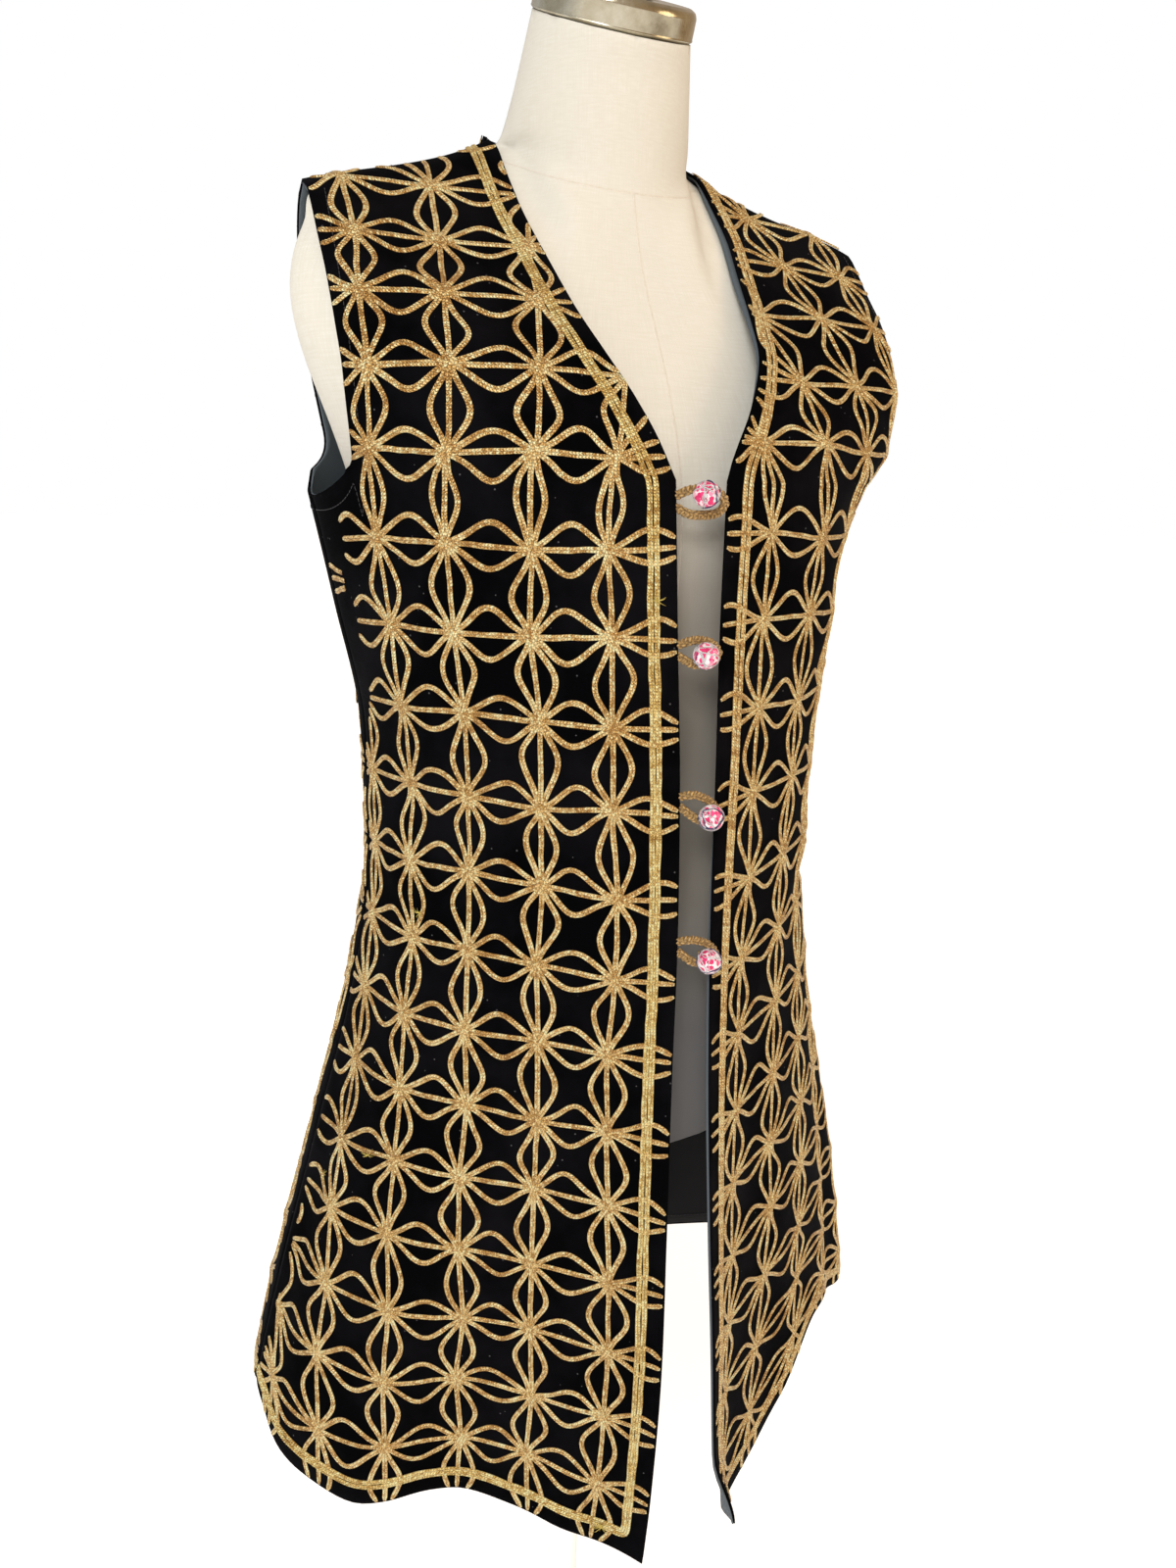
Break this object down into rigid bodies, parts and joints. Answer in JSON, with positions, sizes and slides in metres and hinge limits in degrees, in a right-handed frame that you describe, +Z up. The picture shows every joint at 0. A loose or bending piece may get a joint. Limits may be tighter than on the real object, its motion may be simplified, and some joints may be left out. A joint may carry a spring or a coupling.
{
  "type": "embroidered vest on dress form",
  "caption": "Long sleeveless velvet vest with a gold chain-stitch lattice and netted ball buttons in braided loops, worn by a limbless linen dress form on a round base.",
  "frame": {"origin": "centre of the stand base's underside, on the floor", "axes": "+Z up along the pole; the wearer faces -Y and the wearer's right side is -X"},
  "size_m": [0.502, 0.346, 1.4891],
  "materials": {
    "velvet": "black cotton velvet with a short nap, under gold chain stitch",
    "lining": "plain woven slate-grey lining",
    "ball": "pink cloth netted with white and navy thread",
    "cord": "braided bronze-gold cord",
    "linen": "cream linen stretched over the form",
    "bronze": "antique bronze",
    "knob": "dark lacquered wood",
    "steel": "white enamel"
  },
  "bodies": {
    "root": {"front_right": "velvet", "front_left": "velvet", "back": "velvet", "lining_front_right": "lining", "lining_front_left": "lining", "lining_back": "lining", "form_torso": "linen", "neck_cap": "bronze", "cap_knob": "knob", "pole": "steel", "stand_base": "steel", "button_1": "ball", "shank_1": "cord", "loop_1": "cord", "button_2": "ball", "shank_2": "cord", "loop_2": "cord", "button_3": "ball", "shank_3": "cord", "loop_3": "cord", "button_4": "ball", "shank_4": "cord", "loop_4": "cord"}
  },
  "joints": []
}
